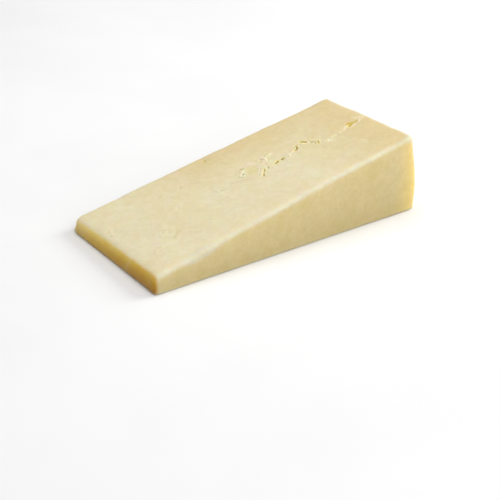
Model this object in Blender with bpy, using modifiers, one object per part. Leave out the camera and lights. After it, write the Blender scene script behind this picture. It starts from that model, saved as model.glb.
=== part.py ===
"""Wedge of pale cheddar without rind, lying on its broadest cut face.

Metres, +Z up. The long front face looks to -Y, the thick end to +X, and the origin
is the middle of the base. The top slopes from a thin blunt tip to the thick end.
A crumbly fissure runs along the middle of the top, with pits, a hollow and small flakes.
"""

import math

import bmesh
import bpy
from mathutils import Matrix, Vector, noise

MM = 0.001
NODE_NAME = "cheddar_wedge"

# Driving dimensions of the block
LENGTH = 160.0 * MM
WIDTH = 78.6 * MM
TIP_FRONT_HEIGHT = 9.3 * MM
TIP_BACK_HEIGHT = 7.1 * MM
END_FRONT_HEIGHT = 42.0 * MM
END_BACK_HEIGHT = 35.4 * MM

# The cuts are a little out of square: skews in plan, leans from base to top, a bulge and a hollow
END_SKEW = 5.4 * MM
END_LEAN = 3.3 * MM
END_BULGE = 2.5 * MM
TIP_SKEW = 1.0 * MM
TIP_LEAN = 1.2 * MM
TIP_HOLLOW = 0.2 * MM
FRONT_LEAN = 1.1 * MM
BACK_LEAN = 1.1 * MM

# Radii of the soft edges
BASE_RADIUS = 1.0 * MM
FRONT_TOP_RADIUS = 2.2 * MM
BACK_TOP_RADIUS = 1.8 * MM
TIP_TOP_RADIUS = 2.4 * MM
END_TOP_RADIUS = 2.2 * MM
END_FRONT_UPRIGHT_RADIUS = 4.2 * MM
END_BACK_UPRIGHT_RADIUS = 1.6 * MM
TIP_FRONT_UPRIGHT_RADIUS = 1.5 * MM
TIP_BACK_UPRIGHT_RADIUS = 4.4 * MM
WIDEST_RADIUS = max(END_FRONT_UPRIGHT_RADIUS, TIP_BACK_UPRIGHT_RADIUS)
ROUNDING_SEGMENTS = 2

# A place of the unit cage this close to a side counts as on it
TOUCH = 0.000001

# Loop cuts of the cage: even steps along and across, graded steps up the sides
STEPS_ALONG = 20
STEPS_ACROSS = 10
LEVELS_UP = (0.22, 0.45)

# The hand-cut faces wave gently, and the top has a few broad swells and sags
WAVE_HEIGHT = 0.28 * MM
WAVE_LENGTH = 34.0 * MM
SWELLS_MM = (
    # x, y, height, reach
    (-52.0, -38.0, -0.35, 16.0),
    (14.0, -38.0, 0.6, 26.0),
    (-24.0, 36.0, -0.3, 9.0),
    (14.0, 36.0, 0.15, 14.0),
    (61.0, 36.0, -0.45, 7.0),
    (76.0, 37.0, 0.6, 7.0),
    (75.0, 9.0, 0.2, 12.0),
    (73.0, -14.0, -0.4, 10.0),
    (74.0, -36.0, -0.7, 9.0),
    (3.0, 3.5, -0.35, 5.0),
    (46.0, -2.0, 0.3, 5.5),
)

# Pits of the fissure as short strokes on the top: x and y of both ends, half width, depth
PITS_MM = (
    (7.1, -1.6, 4.3, -4.6, 0.55, 1.0),
    (4.3, -4.6, 3.2, -6.9, 0.55, 0.9),
    (12.6, -1.7, 14.4, -0.9, 0.45, 0.7),
    (14.9, -0.7, 17.0, -0.8, 0.85, 1.5),
    (18.5, -0.4, 20.7, -0.7, 0.8, 1.5),
    (31.7, 3.7, 31.4, 2.4, 0.65, 1.1),
    (31.2, 2.3, 28.9, 1.5, 0.65, 1.2),
    (36.4, 6.5, 37.8, 3.8, 0.75, 1.3),
    (39.4, 3.0, 39.7, 2.5, 0.5, 0.6),
    (42.1, 5.5, 42.5, 5.2, 0.45, 0.6),
    (40.3, 0.2, 40.1, -1.4, 0.5, 0.7),
    (43.3, -0.5, 41.2, -2.7, 0.95, 1.2),
    (62.9, 1.2, 65.0, 0.0, 1.9, 1.9),
    (65.2, 0.5, 68.2, 0.5, 0.9, 1.2),
    (9.6, -1.5, 10.0, -1.5, 0.45, 0.6),
    (-30.6, 19.8, -30.3, 19.4, 0.5, 0.6),
    (-6.4, 32.5, -5.8, 32.9, 0.7, 0.6),
)

# Flakes that stand proud beside the fissure: x, y, half length, half width, height, heading
FLAKES_MM = (
    (-1.2, 6.8, 1.3, 0.8, 0.40, 55.0),
    (1.6, 8.8, 1.5, 0.7, 0.35, 20.0),
    (5.6, 8.6, 1.2, 0.7, 0.40, -15.0),
    (8.3, 4.6, 1.0, 0.7, 0.35, 70.0),
    (10.8, 8.2, 1.7, 0.6, 0.45, 35.0),
    (13.8, 9.4, 1.9, 0.6, 0.45, 50.0),
    (17.4, 9.2, 2.1, 0.6, 0.40, 15.0),
    (12.4, 5.2, 1.2, 0.7, 0.40, 60.0),
    (24.3, 1.6, 1.6, 0.7, 0.35, 25.0),
    (46.0, 1.2, 2.3, 1.2, 0.40, -50.0),
    (43.2, -6.4, 2.2, 1.0, 0.35, 40.0),
    (50.4, -2.6, 2.6, 0.8, 0.45, -20.0),
    (60.2, -2.2, 1.8, 0.7, 0.40, -65.0),
    (70.3, -0.6, 1.3, 0.7, 0.45, 60.0),
)

# How ragged the pits and flakes are, and how far a pit runs past its stroke, in half widths
LUMP_ROUGHNESS = 0.22
LUMP_GRAIN = 1.7
PIT_OVERRUN = 0.6

# Small chip in the tip's top edge: x, y, half length, half width, depth, heading
TIP_CHIP_MM = (-81.4, -22.0, 2.6, 0.8, 0.7, 95.0)

# Colour of the cut cheese, as sRGB
CHEESE_COLOUR = (0.895, 0.825, 0.625)
CHEESE_ROUGHNESS = 0.42
SHARP_ANGLE = math.radians(35)


def clear_scene():
    for item in list(bpy.data.objects):
        bpy.data.objects.remove(item, do_unlink=True)


def linear(channel):
    if channel <= 0.04045:
        return channel / 12.92
    return ((channel + 0.055) / 1.055) ** 2.4


def cheese_material():
    material = bpy.data.materials.new("pale_cheddar")
    material.use_nodes = True
    shader = material.node_tree.nodes["Principled BSDF"]
    shader.inputs["Base Color"].default_value = [linear(c) for c in CHEESE_COLOUR] + [1.0]
    shader.inputs["Roughness"].default_value = CHEESE_ROUGHNESS
    shader.inputs["Metallic"].default_value = 0.0
    return material


def mix(start, end, share):
    return start + (end - start) * share


def swell_height(x, y):
    """Height that the swells and sags add to the top at one place."""
    height = 0.0
    for swell_x, swell_y, swell, reach in SWELLS_MM:
        distance = math.hypot(x - swell_x * MM, y - swell_y * MM)
        height += swell * MM * math.exp(-((distance / (reach * MM)) ** 2))
    return height


def hump(share):
    """0 at both ends of a span and 1 in its middle."""
    return 4 * share * (1 - share)


def tip_x(across, up):
    hollow = TIP_HOLLOW * hump(across)
    return -(LENGTH + END_SKEW) / 2 + TIP_SKEW * across + TIP_LEAN * up + hollow


def end_x(across, up):
    bulge = END_BULGE * hump(up)
    return (LENGTH - END_SKEW) / 2 + END_SKEW * across - END_LEAN * up + bulge


def front_y(up):
    return -WIDTH / 2 + FRONT_LEAN * up


def back_y(up):
    return WIDTH / 2 - BACK_LEAN * up


def top_z(along, across):
    front = mix(TIP_FRONT_HEIGHT, END_FRONT_HEIGHT, along)
    back = mix(TIP_BACK_HEIGHT, END_BACK_HEIGHT, along)
    return mix(front, back, across)


def block_point(along, across, up):
    """Place in the block for three shares from 0 to 1: tip to thick end, front to back, base to top."""
    x = mix(tip_x(across, up), end_x(across, up), along)
    y = mix(front_y(up), back_y(up), across)
    z = (top_z(along, across) + swell_height(x, y)) * up
    point = Vector((x, y, z))
    wave = WAVE_HEIGHT * noise.noise(point / WAVE_LENGTH)
    if up > 0.5:
        point.z += wave
    if across in (0.0, 1.0):
        point.y += wave * up
    if along in (0.0, 1.0):
        point.x += wave * up
    return point


def top_point(x, y):
    """Point on the top face above one place of the base."""
    across = (y - front_y(1)) / (back_y(1) - front_y(1))
    along = (x - tip_x(across, 1)) / (end_x(across, 1) - tip_x(across, 1))
    return block_point(along, across, 1)


def edge_radius(first, second):
    """Rounding radius of a cage edge, from the two cage places that it joins, or 0 inside a face."""
    middle = (first + second) / 2
    tip, front, base = (c < TOUCH - 0.5 for c in middle)
    end, back, top = (c > 0.5 - TOUCH for c in middle)
    if base and (tip or end or front or back):
        return BASE_RADIUS
    if top and tip:
        return TIP_TOP_RADIUS
    if top and end:
        return END_TOP_RADIUS
    if top and front:
        return FRONT_TOP_RADIUS
    if top and back:
        return BACK_TOP_RADIUS
    if end and front:
        return END_FRONT_UPRIGHT_RADIUS
    if end and back:
        return END_BACK_UPRIGHT_RADIUS
    if tip and front:
        return TIP_FRONT_UPRIGHT_RADIUS
    if tip and back:
        return TIP_BACK_UPRIGHT_RADIUS
    return 0.0


def loop_cut(cage, axis, share):
    """Cuts the unit cage right round at one share of its height, width or length."""
    place = Vector((0, 0, 0))
    place[axis] = share - 0.5
    normal = Vector((0, 0, 0))
    normal[axis] = 1
    whole = cage.verts[:] + cage.edges[:] + cage.faces[:]
    bmesh.ops.bisect_plane(cage, geom=whole, plane_co=place, plane_no=normal)


def block_cage():
    """The block's mesh: a cube with loop cuts, weighted for rounding, then drawn out to the wedge."""
    cage = bmesh.new()
    bmesh.ops.create_cube(cage, size=1)
    for step in range(1, STEPS_ALONG):
        loop_cut(cage, 0, step / STEPS_ALONG)
    for step in range(1, STEPS_ACROSS):
        loop_cut(cage, 1, step / STEPS_ACROSS)
    for level in LEVELS_UP:
        loop_cut(cage, 2, level)
    weight = cage.edges.layers.float.new("bevel_weight_edge")
    for edge in cage.edges:
        radius = edge_radius(edge.verts[0].co, edge.verts[1].co)
        edge[weight] = radius / WIDEST_RADIUS
    for vertex in cage.verts:
        shares = [round(c + 0.5, 6) for c in vertex.co]
        vertex.co = block_point(*shares)
    mesh = bpy.data.meshes.new(NODE_NAME)
    cage.to_mesh(mesh)
    cage.free()
    return mesh


def lump(name, x, y, half_length, half_width, half_height, heading, collection):
    """An uneven lump with its middle on the top face, used to cut a pit or to add a flake."""
    shape = bmesh.new()
    bmesh.ops.create_icosphere(shape, subdivisions=2, radius=1)
    for vertex in shape.verts:
        ragged = noise.noise(vertex.co * LUMP_GRAIN + Vector((x, y, heading)))
        vertex.co *= 1 + LUMP_ROUGHNESS * ragged
    middle = top_point(x * MM, y * MM)
    slope_x = (top_point(x * MM + MM, y * MM).z - middle.z) / MM
    slope_y = (top_point(x * MM, y * MM + MM).z - middle.z) / MM
    size = Matrix.Diagonal((half_length * MM, half_width * MM, half_height * MM, 1))
    turn = Matrix.Rotation(math.radians(heading), 4, "Z")
    pitch = Matrix.Rotation(-math.atan(slope_x), 4, "Y")
    roll = Matrix.Rotation(math.atan(slope_y), 4, "X")
    place = Matrix.Translation(middle) @ roll @ pitch @ turn @ size
    bmesh.ops.transform(shape, matrix=place, verts=shape.verts)
    mesh = bpy.data.meshes.new(name)
    shape.to_mesh(mesh)
    shape.free()
    piece = bpy.data.objects.new(name, mesh)
    collection.objects.link(piece)
    piece.hide_render = True
    piece.display_type = "WIRE"
    return piece


def pit_cutters(collection):
    for number, (x1, y1, x2, y2, half_width, depth) in enumerate(PITS_MM, 1):
        heading = math.degrees(math.atan2(y2 - y1, x2 - x1))
        half_length = math.hypot(x2 - x1, y2 - y1) / 2 + half_width * PIT_OVERRUN
        middle = ((x1 + x2) / 2, (y1 + y2) / 2)
        lump(f"pit_{number}", *middle, half_length, half_width, depth, heading, collection)
    lump("tip_chip", *TIP_CHIP_MM, collection)


def flake_lumps(collection):
    for number, (x, y, half_length, half_width, height, heading) in enumerate(FLAKES_MM, 1):
        lump(f"flake_{number}", x, y, half_length, half_width, height, heading, collection)


def new_collection(name):
    collection = bpy.data.collections.new(name)
    bpy.context.scene.collection.children.link(collection)
    return collection


def add_boolean(block, operation, collection):
    modifier = block.modifiers.new(operation.title(), "BOOLEAN")
    modifier.operation = operation
    modifier.operand_type = "COLLECTION"
    modifier.collection = collection
    modifier.solver = "EXACT"


def bake_modifiers(block):
    """Makes the block's evaluated shape its mesh."""
    bpy.context.view_layer.update()
    shaped = block.evaluated_get(bpy.context.evaluated_depsgraph_get())
    mesh = bpy.data.meshes.new_from_object(shaped)
    block.modifiers.clear()
    block.data = mesh


def centre_over_base(block):
    corners = [vertex.co for vertex in block.data.vertices]
    middle_x = (min(c.x for c in corners) + max(c.x for c in corners)) / 2
    middle_y = (min(c.y for c in corners) + max(c.y for c in corners)) / 2
    lowest = min(c.z for c in corners)
    block.data.transform(Matrix.Translation((-middle_x, -middle_y, -lowest)))


def build_block():
    home = new_collection("cheddar")
    flakes = new_collection("flakes")
    pits = new_collection("pit_cutters")
    block = bpy.data.objects.new(NODE_NAME, block_cage())
    home.objects.link(block)

    rounding = block.modifiers.new("Rounding", "BEVEL")
    rounding.limit_method = "WEIGHT"
    rounding.width = WIDEST_RADIUS
    rounding.segments = ROUNDING_SEGMENTS
    smoothing = block.modifiers.new("Smoothing", "SUBSURF")
    smoothing.levels = 1
    smoothing.render_levels = 1

    flake_lumps(flakes)
    pit_cutters(pits)
    add_boolean(block, "UNION", flakes)
    add_boolean(block, "DIFFERENCE", pits)
    bake_modifiers(block)
    for helpers in (flakes, pits):
        for piece in list(helpers.objects):
            bpy.data.objects.remove(piece, do_unlink=True)
        bpy.data.collections.remove(helpers)

    block.data.materials.clear()
    block.data.materials.append(cheese_material())
    block.data.shade_smooth()
    block.data.set_sharp_from_angle(angle=SHARP_ANGLE)
    centre_over_base(block)
    return block


clear_scene()
build_block()
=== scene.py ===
# %% [markdown]
# # A wedge of pale cheddar
# This lesson dresses one solid: a wedge of cheddar without rind, lying on its broadest cut
# face. Real cheddar is a pressed mass of small curds, so a cut face looks plain from afar and
# is full of quiet detail near by: cloudy patches, waxy edges that a thumb has rubbed pale,
# here with a painted highlight on them as well, and a crumbly fissure where the curds never
# quite joined.
#
# The lesson goes from large to small. It loads the solid, sets the camera, lights and floor,
# lays a fine skin of mesh over the solid, carves the relief into that skin, and at last
# gives it one material whose colours follow the shape.

import math

import bmesh
import bpy
import numpy as np
from mathutils import Matrix, Vector, noise


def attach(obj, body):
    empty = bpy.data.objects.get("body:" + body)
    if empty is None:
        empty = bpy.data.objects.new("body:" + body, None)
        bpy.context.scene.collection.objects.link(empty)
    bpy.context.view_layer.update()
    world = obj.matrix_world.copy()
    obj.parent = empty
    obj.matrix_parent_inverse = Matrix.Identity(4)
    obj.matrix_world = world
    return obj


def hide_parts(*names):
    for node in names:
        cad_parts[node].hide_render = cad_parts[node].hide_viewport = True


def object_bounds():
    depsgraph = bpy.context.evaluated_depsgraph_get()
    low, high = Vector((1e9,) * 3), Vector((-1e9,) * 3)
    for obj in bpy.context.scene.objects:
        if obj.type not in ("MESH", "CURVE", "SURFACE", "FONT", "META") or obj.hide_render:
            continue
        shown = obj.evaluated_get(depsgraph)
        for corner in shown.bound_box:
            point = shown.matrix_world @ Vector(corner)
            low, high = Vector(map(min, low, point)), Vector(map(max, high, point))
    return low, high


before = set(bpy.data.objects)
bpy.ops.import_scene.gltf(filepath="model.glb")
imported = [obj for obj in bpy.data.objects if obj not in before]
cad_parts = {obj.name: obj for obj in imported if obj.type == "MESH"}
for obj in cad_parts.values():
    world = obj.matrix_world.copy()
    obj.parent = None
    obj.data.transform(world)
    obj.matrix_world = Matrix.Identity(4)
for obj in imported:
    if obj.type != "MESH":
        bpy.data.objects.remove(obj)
MM = 0.001
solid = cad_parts["cheddar_wedge"]
solid_low, solid_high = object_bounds()
print("solid, mm:", [round(size / MM, 1) for size in solid_high - solid_low])

# %% [markdown]
# ## The camera
# A camera can be placed by eye or by numbers. A long lens far away keeps the cheese's edges
# nearly parallel, as in a catalogue picture, so the place, the tilt and the focal length are
# given together: if one of them changes alone, the wedge looks longer or flatter than it is.
# The turns are applied in the order roll, tilt, heading, because a product of matrices is
# read from right to left.

# %% Set the camera
CAMERA_PLACE = Vector((-0.3614, -0.4762, 0.3037))
CAMERA_TILT = math.radians(90 - 28.33)
CAMERA_HEADING = math.radians(-37.18)
CAMERA_ROLL = math.radians(1.41)
CAMERA_LENS = 95.3
SENSOR_WIDTH = 36.0


def set_camera():
    data = bpy.data.cameras.new("camera")
    data.lens = CAMERA_LENS
    data.sensor_width = SENSOR_WIDTH
    camera = bpy.data.objects.new("camera", data)
    bpy.context.scene.collection.objects.link(camera)
    heading = Matrix.Rotation(CAMERA_HEADING, 4, "Z")
    tilt = Matrix.Rotation(CAMERA_TILT, 4, "X")
    roll = Matrix.Rotation(CAMERA_ROLL, 4, "Z")
    camera.matrix_world = Matrix.Translation(CAMERA_PLACE) @ heading @ tilt @ roll
    bpy.context.scene.camera = camera
    return camera


camera = set_camera()
print("camera to cheese, m:", round(camera.location.length, 3))

# %% [markdown]
# ## Soft light
# Food is lit softly, so that a pale surface keeps its form without hard shadows. Here one
# large lamp stands low on the side of the thick end and rakes along the top, a second hangs
# overhead, and a weak third one opens up the long front face. Nothing lights the thin tip
# directly, which leaves it in its own soft shade, and its colour adds painted shade on top. The
# view transform is Standard, because the filmic ones would grey the creamy whites.

# %% Lights and world
LAMPS = {
    # name: place, size, watts
    "key_lamp": ((0.95, -0.17, 0.62), 0.55, 7.0),
    "top_lamp": ((0.05, 0.15, 1.00), 0.80, 4.6),
    "front_lamp": ((-0.05, -1.00, 0.60), 0.90, 3.7),
}
WORLD_COLOUR = (1.0, 1.0, 1.0, 1.0)
WORLD_STRENGTH = 0.36


def add_lamp(name, place, size, watts):
    """A square soft lamp that looks at the origin."""
    data = bpy.data.lights.new(name, "AREA")
    data.shape = "SQUARE"
    data.size = size
    data.energy = watts
    lamp = bpy.data.objects.new(name, data)
    bpy.context.scene.collection.objects.link(lamp)
    lamp.location = place
    lamp.rotation_euler = (-Vector(place)).to_track_quat("-Z", "Y").to_euler()


for lamp_name, (lamp_place, lamp_size, lamp_watts) in LAMPS.items():
    add_lamp(lamp_name, lamp_place, lamp_size, lamp_watts)

world = bpy.data.worlds.new("white_room")
world.use_nodes = True
background = world.node_tree.nodes["Background"]
background.inputs["Color"].default_value = WORLD_COLOUR
background.inputs["Strength"].default_value = WORLD_STRENGTH
bpy.context.scene.world = world
bpy.context.scene.view_settings.view_transform = "Standard"
print("lamps:", ", ".join(LAMPS))

# %% [markdown]
# ## Helpers for materials
# A material is a small graph of nodes, and five helpers keep the code that builds one short.
# The first turns the sRGB colours that an artist picks into the linear values that the
# shader wants. The second adds a node and fills its sockets. The next two lay one colour
# over another by a mask, and the last does one step of arithmetic.

# %% Material helpers
def linear(colour):
    """Linear RGBA from an sRGB colour, with the numbers of that standard."""
    channels = [c / 12.92 if c <= 0.04045 else ((c + 0.055) / 1.055) ** 2.4 for c in colour]
    return (*channels, 1.0)


def add_node(tree, kind, inputs=(), **settings):
    """Adds a node, sets its properties, and fills or links the named input sockets."""
    node = tree.nodes.new(kind)
    for name, value in settings.items():
        setattr(node, name, value)
    for socket, value in dict(inputs).items():
        if isinstance(value, bpy.types.NodeSocket):
            tree.links.new(value, node.inputs[socket])
        else:
            node.inputs[socket].default_value = value
    return node


def mix_colour(tree, mask, low, high, blend_type="MIX"):
    """Colour that is low where the mask is 0 and high where it is 1."""
    # A mix node has its mask in socket 0, its colours in 6 and 7, and the result in output 2
    sockets = {0: mask, 6: low, 7: high}
    mixer = add_node(tree, "ShaderNodeMix", sockets, data_type="RGBA", blend_type=blend_type)
    return mixer.outputs[2]


def tint(tree, mask, colour, shade):
    """Colour that is multiplied by the shade where the mask is 1."""
    return mix_colour(tree, mask, colour, shade, blend_type="MULTIPLY")


def maths(tree, operation, first, second):
    """One step of arithmetic on sockets or numbers."""
    return add_node(tree, "ShaderNodeMath", {0: first, 1: second}, operation=operation).outputs[0]


print("half grey in linear light:", round(linear((0.5, 0.5, 0.5))[0], 3))

# %% [markdown]
# ## Shared effects as node groups
# Cloudy patches and fine grain turn up both on the cheese and on the floor, at other sizes.
# An effect that two materials use is best built once as a node group with named sockets.
# The groups give out masks and heights only, and each material decides what they do.

# %% A node group for cloudy patches
CLOUD_DETAIL = 2.5
CLOUD_ROUGHNESS = 0.55
# The noise keeps near its middle, and this range of it is spread over 0 to 1
CLOUD_RANGE = (0.34, 0.66)


def new_group(name, inputs, outputs):
    """An empty node group with float sockets. inputs maps each name to its first value."""
    group = bpy.data.node_groups.new(name, "ShaderNodeTree")
    for socket, value in inputs.items():
        made = group.interface.new_socket(socket, in_out="INPUT", socket_type="NodeSocketFloat")
        made.default_value = value
    for socket in outputs:
        group.interface.new_socket(socket, in_out="OUTPUT", socket_type="NodeSocketFloat")
    return group, group.nodes.new("NodeGroupInput").outputs, group.nodes.new("NodeGroupOutput").inputs


def cloud_group():
    """Soft patches of a given size in millimetres, as a mask from 0 to 1."""
    group, given, result = new_group("cloudy_patches", {"Patch size": 10.0, "Seed": 0.0}, ["Mask"])
    place = add_node(group, "ShaderNodeTexCoord").outputs["Object"]
    scale = maths(group, "DIVIDE", 1 / MM, given["Patch size"])
    cloud = add_node(group, "ShaderNodeTexNoise", {
        "Vector": place, "W": given["Seed"], "Scale": scale,
        "Detail": CLOUD_DETAIL, "Roughness": CLOUD_ROUGHNESS,
    }, noise_dimensions="4D")
    spread = add_node(group, "ShaderNodeMapRange", {
        "Value": cloud.outputs["Fac"], "From Min": CLOUD_RANGE[0], "From Max": CLOUD_RANGE[1],
    }, interpolation_type="SMOOTHSTEP")
    group.links.new(spread.outputs["Result"], result["Mask"])
    return group


cloudy_patches = cloud_group()
print("group:", cloudy_patches.name)

# %% A node group for fine grain
GRAIN_DETAIL = 3.0
GRAIN_ROUGHNESS = 0.6
# The pores are fewer than the bumps by this factor, and round, with this radius in their cell
PORE_FREQUENCY = 0.6
PORE_RADIUS = 0.28


def grain_group():
    """Fine grain of a given size in millimetres: small bumps with tiny open pores between."""
    group, given, result = new_group("fine_grain", {"Grain size": 0.5, "Pores": 0.5}, ["Height"])
    place = add_node(group, "ShaderNodeTexCoord").outputs["Object"]
    scale = maths(group, "DIVIDE", 1 / MM, given["Grain size"])
    bumps = add_node(group, "ShaderNodeTexNoise", {
        "Vector": place, "Scale": scale, "Detail": GRAIN_DETAIL, "Roughness": GRAIN_ROUGHNESS,
    })
    cell_scale = maths(group, "MULTIPLY", scale, PORE_FREQUENCY)
    cells = add_node(group, "ShaderNodeTexVoronoi", {"Vector": place, "Scale": cell_scale})
    pore = add_node(group, "ShaderNodeMapRange", {
        "Value": cells.outputs["Distance"], "From Min": 0.0, "From Max": PORE_RADIUS,
        "To Min": 1.0, "To Max": 0.0,
    }, interpolation_type="SMOOTHSTEP")
    depth = maths(group, "MULTIPLY", pore.outputs["Result"], given["Pores"])
    height = maths(group, "SUBTRACT", bumps.outputs["Fac"], depth)
    group.links.new(height, result["Height"])
    return group


def place_group(tree, group, **values):
    """Puts a node group in a material. Spaces in a socket's name are written as _ here."""
    node = add_node(tree, "ShaderNodeGroup", node_tree=group)
    for socket, value in values.items():
        node.inputs[socket.replace("_", " ")].default_value = value
    return node.outputs[0]


fine_grain = grain_group()
print("group:", fine_grain.name)

# %% [markdown]
# ## The floor
# One large plane is enough, as long as its edge stays out of the picture. It is part of the
# lighting too: it throws light back up on the sides. Even a plain floor looks better with a
# trace of unevenness, so it takes the same two groups as the cheese, at a coarser size and a
# very low strength.

# %% Make the floor
FLOOR_SIZE = 6.0
FLOOR_COLOUR = (0.965, 0.965, 0.965)
FLOOR_SHADE = (0.950, 0.950, 0.950)


def floor_material():
    material = bpy.data.materials.new("matt_white_floor")
    material.use_nodes = True
    tree = material.node_tree
    shader = tree.nodes["Principled BSDF"]
    clouds = place_group(tree, cloudy_patches, Patch_size=120.0, Seed=3.0)
    colour = mix_colour(tree, clouds, linear(FLOOR_SHADE), linear(FLOOR_COLOUR))
    tree.links.new(colour, shader.inputs["Base Color"])
    grain = place_group(tree, fine_grain, Grain_size=1.5, Pores=0.0)
    bump = add_node(tree, "ShaderNodeBump", {"Height": grain, "Strength": 0.15, "Distance": 0.00005})
    tree.links.new(bump.outputs["Normal"], shader.inputs["Normal"])
    shader.inputs["Roughness"].default_value = 0.85
    shader.inputs["Specular IOR Level"].default_value = 0.2
    return material


bpy.ops.mesh.primitive_plane_add(size=FLOOR_SIZE)
floor = bpy.context.object
floor.name = "floor"
floor.data.materials.append(floor_material())
print("floor, m:", FLOOR_SIZE)

# %% [markdown]
# ## A fine skin over the solid
# The solid has the wedge's true form, but its faces are several millimetres wide, too coarse
# for crumbs and pores. Subdividing it would keep the long thin triangles round the pits.
# A voxel remesh instead lays an even skin of small squares over any closed shape, and even
# squares can be pushed and pulled like clay. The copy is remeshed and the solid isn't touched.

# %% Lay the skin
SKIN_SPACING = 0.9 * MM


def even_skin(source, name, spacing):
    """A new object with a closed mesh of small even squares over the source's shape."""
    piece = bpy.data.objects.new(name, source.data.copy())
    bpy.context.scene.collection.objects.link(piece)
    remesh = piece.modifiers.new("Even skin", "REMESH")
    remesh.mode = "VOXEL"
    remesh.voxel_size = spacing
    bpy.context.view_layer.update()
    shaped = piece.evaluated_get(bpy.context.evaluated_depsgraph_get())
    mesh = bpy.data.meshes.new_from_object(shaped)
    piece.modifiers.clear()
    piece.data = mesh
    return piece


cheese = even_skin(solid, "cheddar_block", SKIN_SPACING)
print("skin:", len(cheese.data.vertices), "vertices")

# %% [markdown]
# ## Smoothing by averages
# Moving every vertex towards the mean of its neighbours melts away steps, but it shrinks the
# cheese as well and would eat its edges. Following each such step by a slightly larger step
# the other way keeps the size and still removes the fine steps. Numpy does this for all
# vertices at once: a weighted count of the ends of all edges adds up the neighbours.

# %% Read and write a mesh as arrays
def read_places(mesh):
    places = np.empty(len(mesh.vertices) * 3, np.float32)
    mesh.vertices.foreach_get("co", places)
    return places.reshape(-1, 3).astype(float)


def write_places(mesh, places):
    mesh.vertices.foreach_set("co", places.astype(np.float32).ravel())
    mesh.update()


def read_normals(mesh):
    normals = np.empty(len(mesh.vertices) * 3, np.float32)
    mesh.vertex_normals.foreach_get("vector", normals)
    return normals.reshape(-1, 3).astype(float)


skin = read_places(cheese.data)
print("before smoothing, mm:", np.round(np.ptp(skin, axis=0) / MM, 1))

# %% Smooth the skin
MELT = 0.5
REGROW = -0.53
SMOOTHING_ROUNDS = 12


def neighbour_mean(mesh):
    """A function that gives each vertex the mean of its neighbours' values."""
    ends = np.empty(len(mesh.edges) * 2, np.int32)
    mesh.edges.foreach_get("vertices", ends)
    first, second = ends.reshape(-1, 2).T
    here = np.concatenate([first, second])
    there = np.concatenate([second, first])
    total = len(mesh.vertices)
    neighbours = np.maximum(np.bincount(here, minlength=total), 1)

    def mean(values):
        columns = [np.bincount(here, column[there], total) / neighbours for column in values.T]
        return np.stack(columns, axis=1)

    return mean


mean_of = neighbour_mean(cheese.data)
for _ in range(SMOOTHING_ROUNDS):
    for step in (MELT, REGROW):
        skin += step * (mean_of(skin) - skin)
write_places(cheese.data, skin)
print("after smoothing, mm:", np.round(np.ptp(skin, axis=0) / MM, 1))

# %% [markdown]
# ## Numbers on the skin
# The colour of this cheese follows its form, and much of that is painted light and shade: the
# sides are painted in deeper shade than the top, the upper edges are rubbed pale and carry a
# painted highlight, and the thin tip is painted in deep shade. So the skin needs to know what it
# is. A mesh can carry a named number for each vertex, here always from 0 to 1 and called a
# mask, and a material reads it by its name. These helpers fade from 0 to 1, keep and read
# masks, melt values into their neighbours', and make smooth noise.

# %% Helpers for masks
# Each seed reads the noise this much further on
SEED_STEP = (17.3, 5.9, 11.1)


def smoothstep(low, high, values):
    """Rises from 0 to 1 while the values go from low to high."""
    share = np.clip((values - low) / (high - low), 0, 1)
    return share * share * (3 - 2 * share)


def keep_mask(mesh, name, values):
    """Stores one number for each vertex on the mesh, where a material can read it by name."""
    attribute = mesh.attributes.new(name, "FLOAT", "POINT")
    attribute.data.foreach_set("value", values.astype(np.float32))


def read_mask(mesh, name):
    values = np.empty(len(mesh.vertices), np.float32)
    mesh.attributes[name].data.foreach_get("value", values)
    return values.astype(float)


def melt(values, mean, rounds, share=1.0):
    melted = values.copy()
    for _ in range(rounds):
        melted += MELT * share * (mean(melted) - melted)
    return melted


def noise_over(points, size, seed):
    """Smooth noise from about -1 to 1 for points in millimetres, with lumps of that size."""
    shift = Vector([seed * step for step in SEED_STEP])
    return np.array([noise.noise(Vector(point) / size + shift) for point in points])


print("a soft fade in quarters:", smoothstep(0, 1, np.linspace(0, 1, 5)))

# %% [markdown]
# ## Top, sides and pale edges
# A vertex's normal tells the top from the sides. A plane fitted to the top then says how far
# up its side each vertex stands. An edge is found by melting a copy of the skin: a vertex
# that sinks deep into the cheese stood on an edge. Only the upper edges turn pale, partly rubbed
# and partly a painted highlight where they face the light, and one place on the front ridge is
# pale wider than the rest.

# %% Find the top, the sides and the edges
SOFTENING_ROUNDS = 3
# How much a normal points up, from a side to the top and from the base to a side
TOP_FROM = (0.35, 0.75)
SIDE_FROM = (-0.75, -0.35)
SURELY_TOP = 0.98
EDGE_MELTING_ROUNDS = 14
EDGE_DROP = 0.42 * MM
EDGE_FROM = (0.15, 1.0)
# Shares of the height between which an edge becomes an upper one
UPPER_FROM = (0.45, 0.80)
# How much a normal points to the tip where the pale edge fades out
EDGE_UNTIL_TIP = (0.35, 0.65)
# x, y and reach of the place where the pale edge, rubbed and with a painted highlight, is wider,
# millimetres
WORN_AND_LIT_SPOT = (-57.0, -38.0, 11.0)
WORN_AND_LIT_GAIN = 1.5
# A soft spot fades out between these shares of its reach
SPOT_FADE = (0.2, 1.0)


def soft_spot(points, x, y, reach):
    """Mask of a round soft spot. Points and sizes are in millimetres."""
    return 1 - smoothstep(*SPOT_FADE, np.hypot(points[:, 0] - x, points[:, 1] - y) / reach)


normals = read_normals(cheese.data)
soft_normals = melt(normals, mean_of, SOFTENING_ROUNDS)
on_top = smoothstep(*TOP_FROM, soft_normals[:, 2])
on_side = (1 - on_top) * smoothstep(*SIDE_FROM, soft_normals[:, 2])

plane_rows = np.column_stack([np.ones(len(skin)), skin[:, 0], skin[:, 1]])
flat = on_top > SURELY_TOP
top_plane = np.linalg.lstsq(plane_rows[flat], skin[flat, 2], rcond=None)[0]
height_share = np.clip(skin[:, 2] / (plane_rows @ top_plane), 0, 1)

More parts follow.
